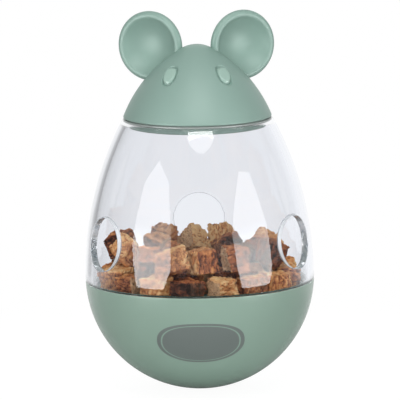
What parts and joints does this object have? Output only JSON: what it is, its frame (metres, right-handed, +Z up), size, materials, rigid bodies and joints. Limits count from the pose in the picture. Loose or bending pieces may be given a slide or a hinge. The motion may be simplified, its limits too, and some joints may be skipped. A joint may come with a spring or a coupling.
{
  "type": "treat dispensing toy",
  "caption": "Egg-shaped roly-poly pet toy: weighted bowl, clear shell with side holes that drop treats, and a push-fit mouse-head lid with round ears.",
  "frame": {"origin": "middle of the flat rest spot under the bowl", "axes": "+Z up along the egg's axis, the mouse's face towards -Y, +X to the right as seen from the front"},
  "size_m": [0.08, 0.08, 0.132],
  "materials": {
    "sage_plastic": "satin moulded plastic",
    "clear_plastic": "clear polished plastic",
    "seal_rubber": "soft matt elastomer",
    "ballast_iron": "black-coated casting",
    "plated_steel": "zinc plated",
    "dried_meat": "dry fibrous"
  },
  "bodies": {
    "base": {"base_bowl": "sage_plastic", "ballast_weight": "ballast_iron", "ballast_washer": "plated_steel", "ballast_screw": "plated_steel", "floor_plate": "sage_plastic", "clear_shell": "clear_plastic", "treat_01": "dried_meat", "treat_02": "dried_meat", "treat_03": "dried_meat", "treat_04": "dried_meat", "treat_05": "dried_meat", "treat_06": "dried_meat", "treat_07": "dried_meat", "treat_08": "dried_meat", "treat_09": "dried_meat", "treat_10": "dried_meat", "treat_11": "dried_meat", "treat_12": "dried_meat", "treat_13": "dried_meat", "treat_14": "dried_meat", "treat_15": "dried_meat", "treat_16": "dried_meat", "treat_17": "dried_meat", "treat_18": "dried_meat", "treat_19": "dried_meat", "treat_20": "dried_meat", "treat_21": "dried_meat", "treat_22": "dried_meat", "treat_23": "dried_meat", "treat_24": "dried_meat", "treat_25": "dried_meat", "treat_26": "dried_meat", "treat_27": "dried_meat", "treat_28": "dried_meat", "treat_29": "dried_meat", "treat_30": "dried_meat", "treat_31": "dried_meat", "treat_32": "dried_meat", "treat_33": "dried_meat", "treat_34": "dried_meat", "treat_35": "dried_meat", "treat_36": "dried_meat", "treat_37": "dried_meat", "treat_38": "dried_meat", "treat_39": "dried_meat", "treat_40": "dried_meat", "treat_41": "dried_meat", "treat_42": "dried_meat", "treat_43": "dried_meat", "treat_44": "dried_meat"},
    "seal": {"lid_seal": "seal_rubber"},
    "lid": {"lid_plug": "sage_plastic", "head_cap": "sage_plastic", "ear_left": "sage_plastic", "ear_right": "sage_plastic"}
  },
  "joints": [
    {"name": "lid_lift", "type": "slide", "parent": "base", "child": "seal", "axis": [0, 0, 1], "range_m": [0, 0.04]},
    {"name": "lid_turn", "type": "hinge", "parent": "seal", "child": "lid", "pos_m": [0, 0, 0.0956], "axis": [0, 0, 1], "continuous": true}
  ]
}
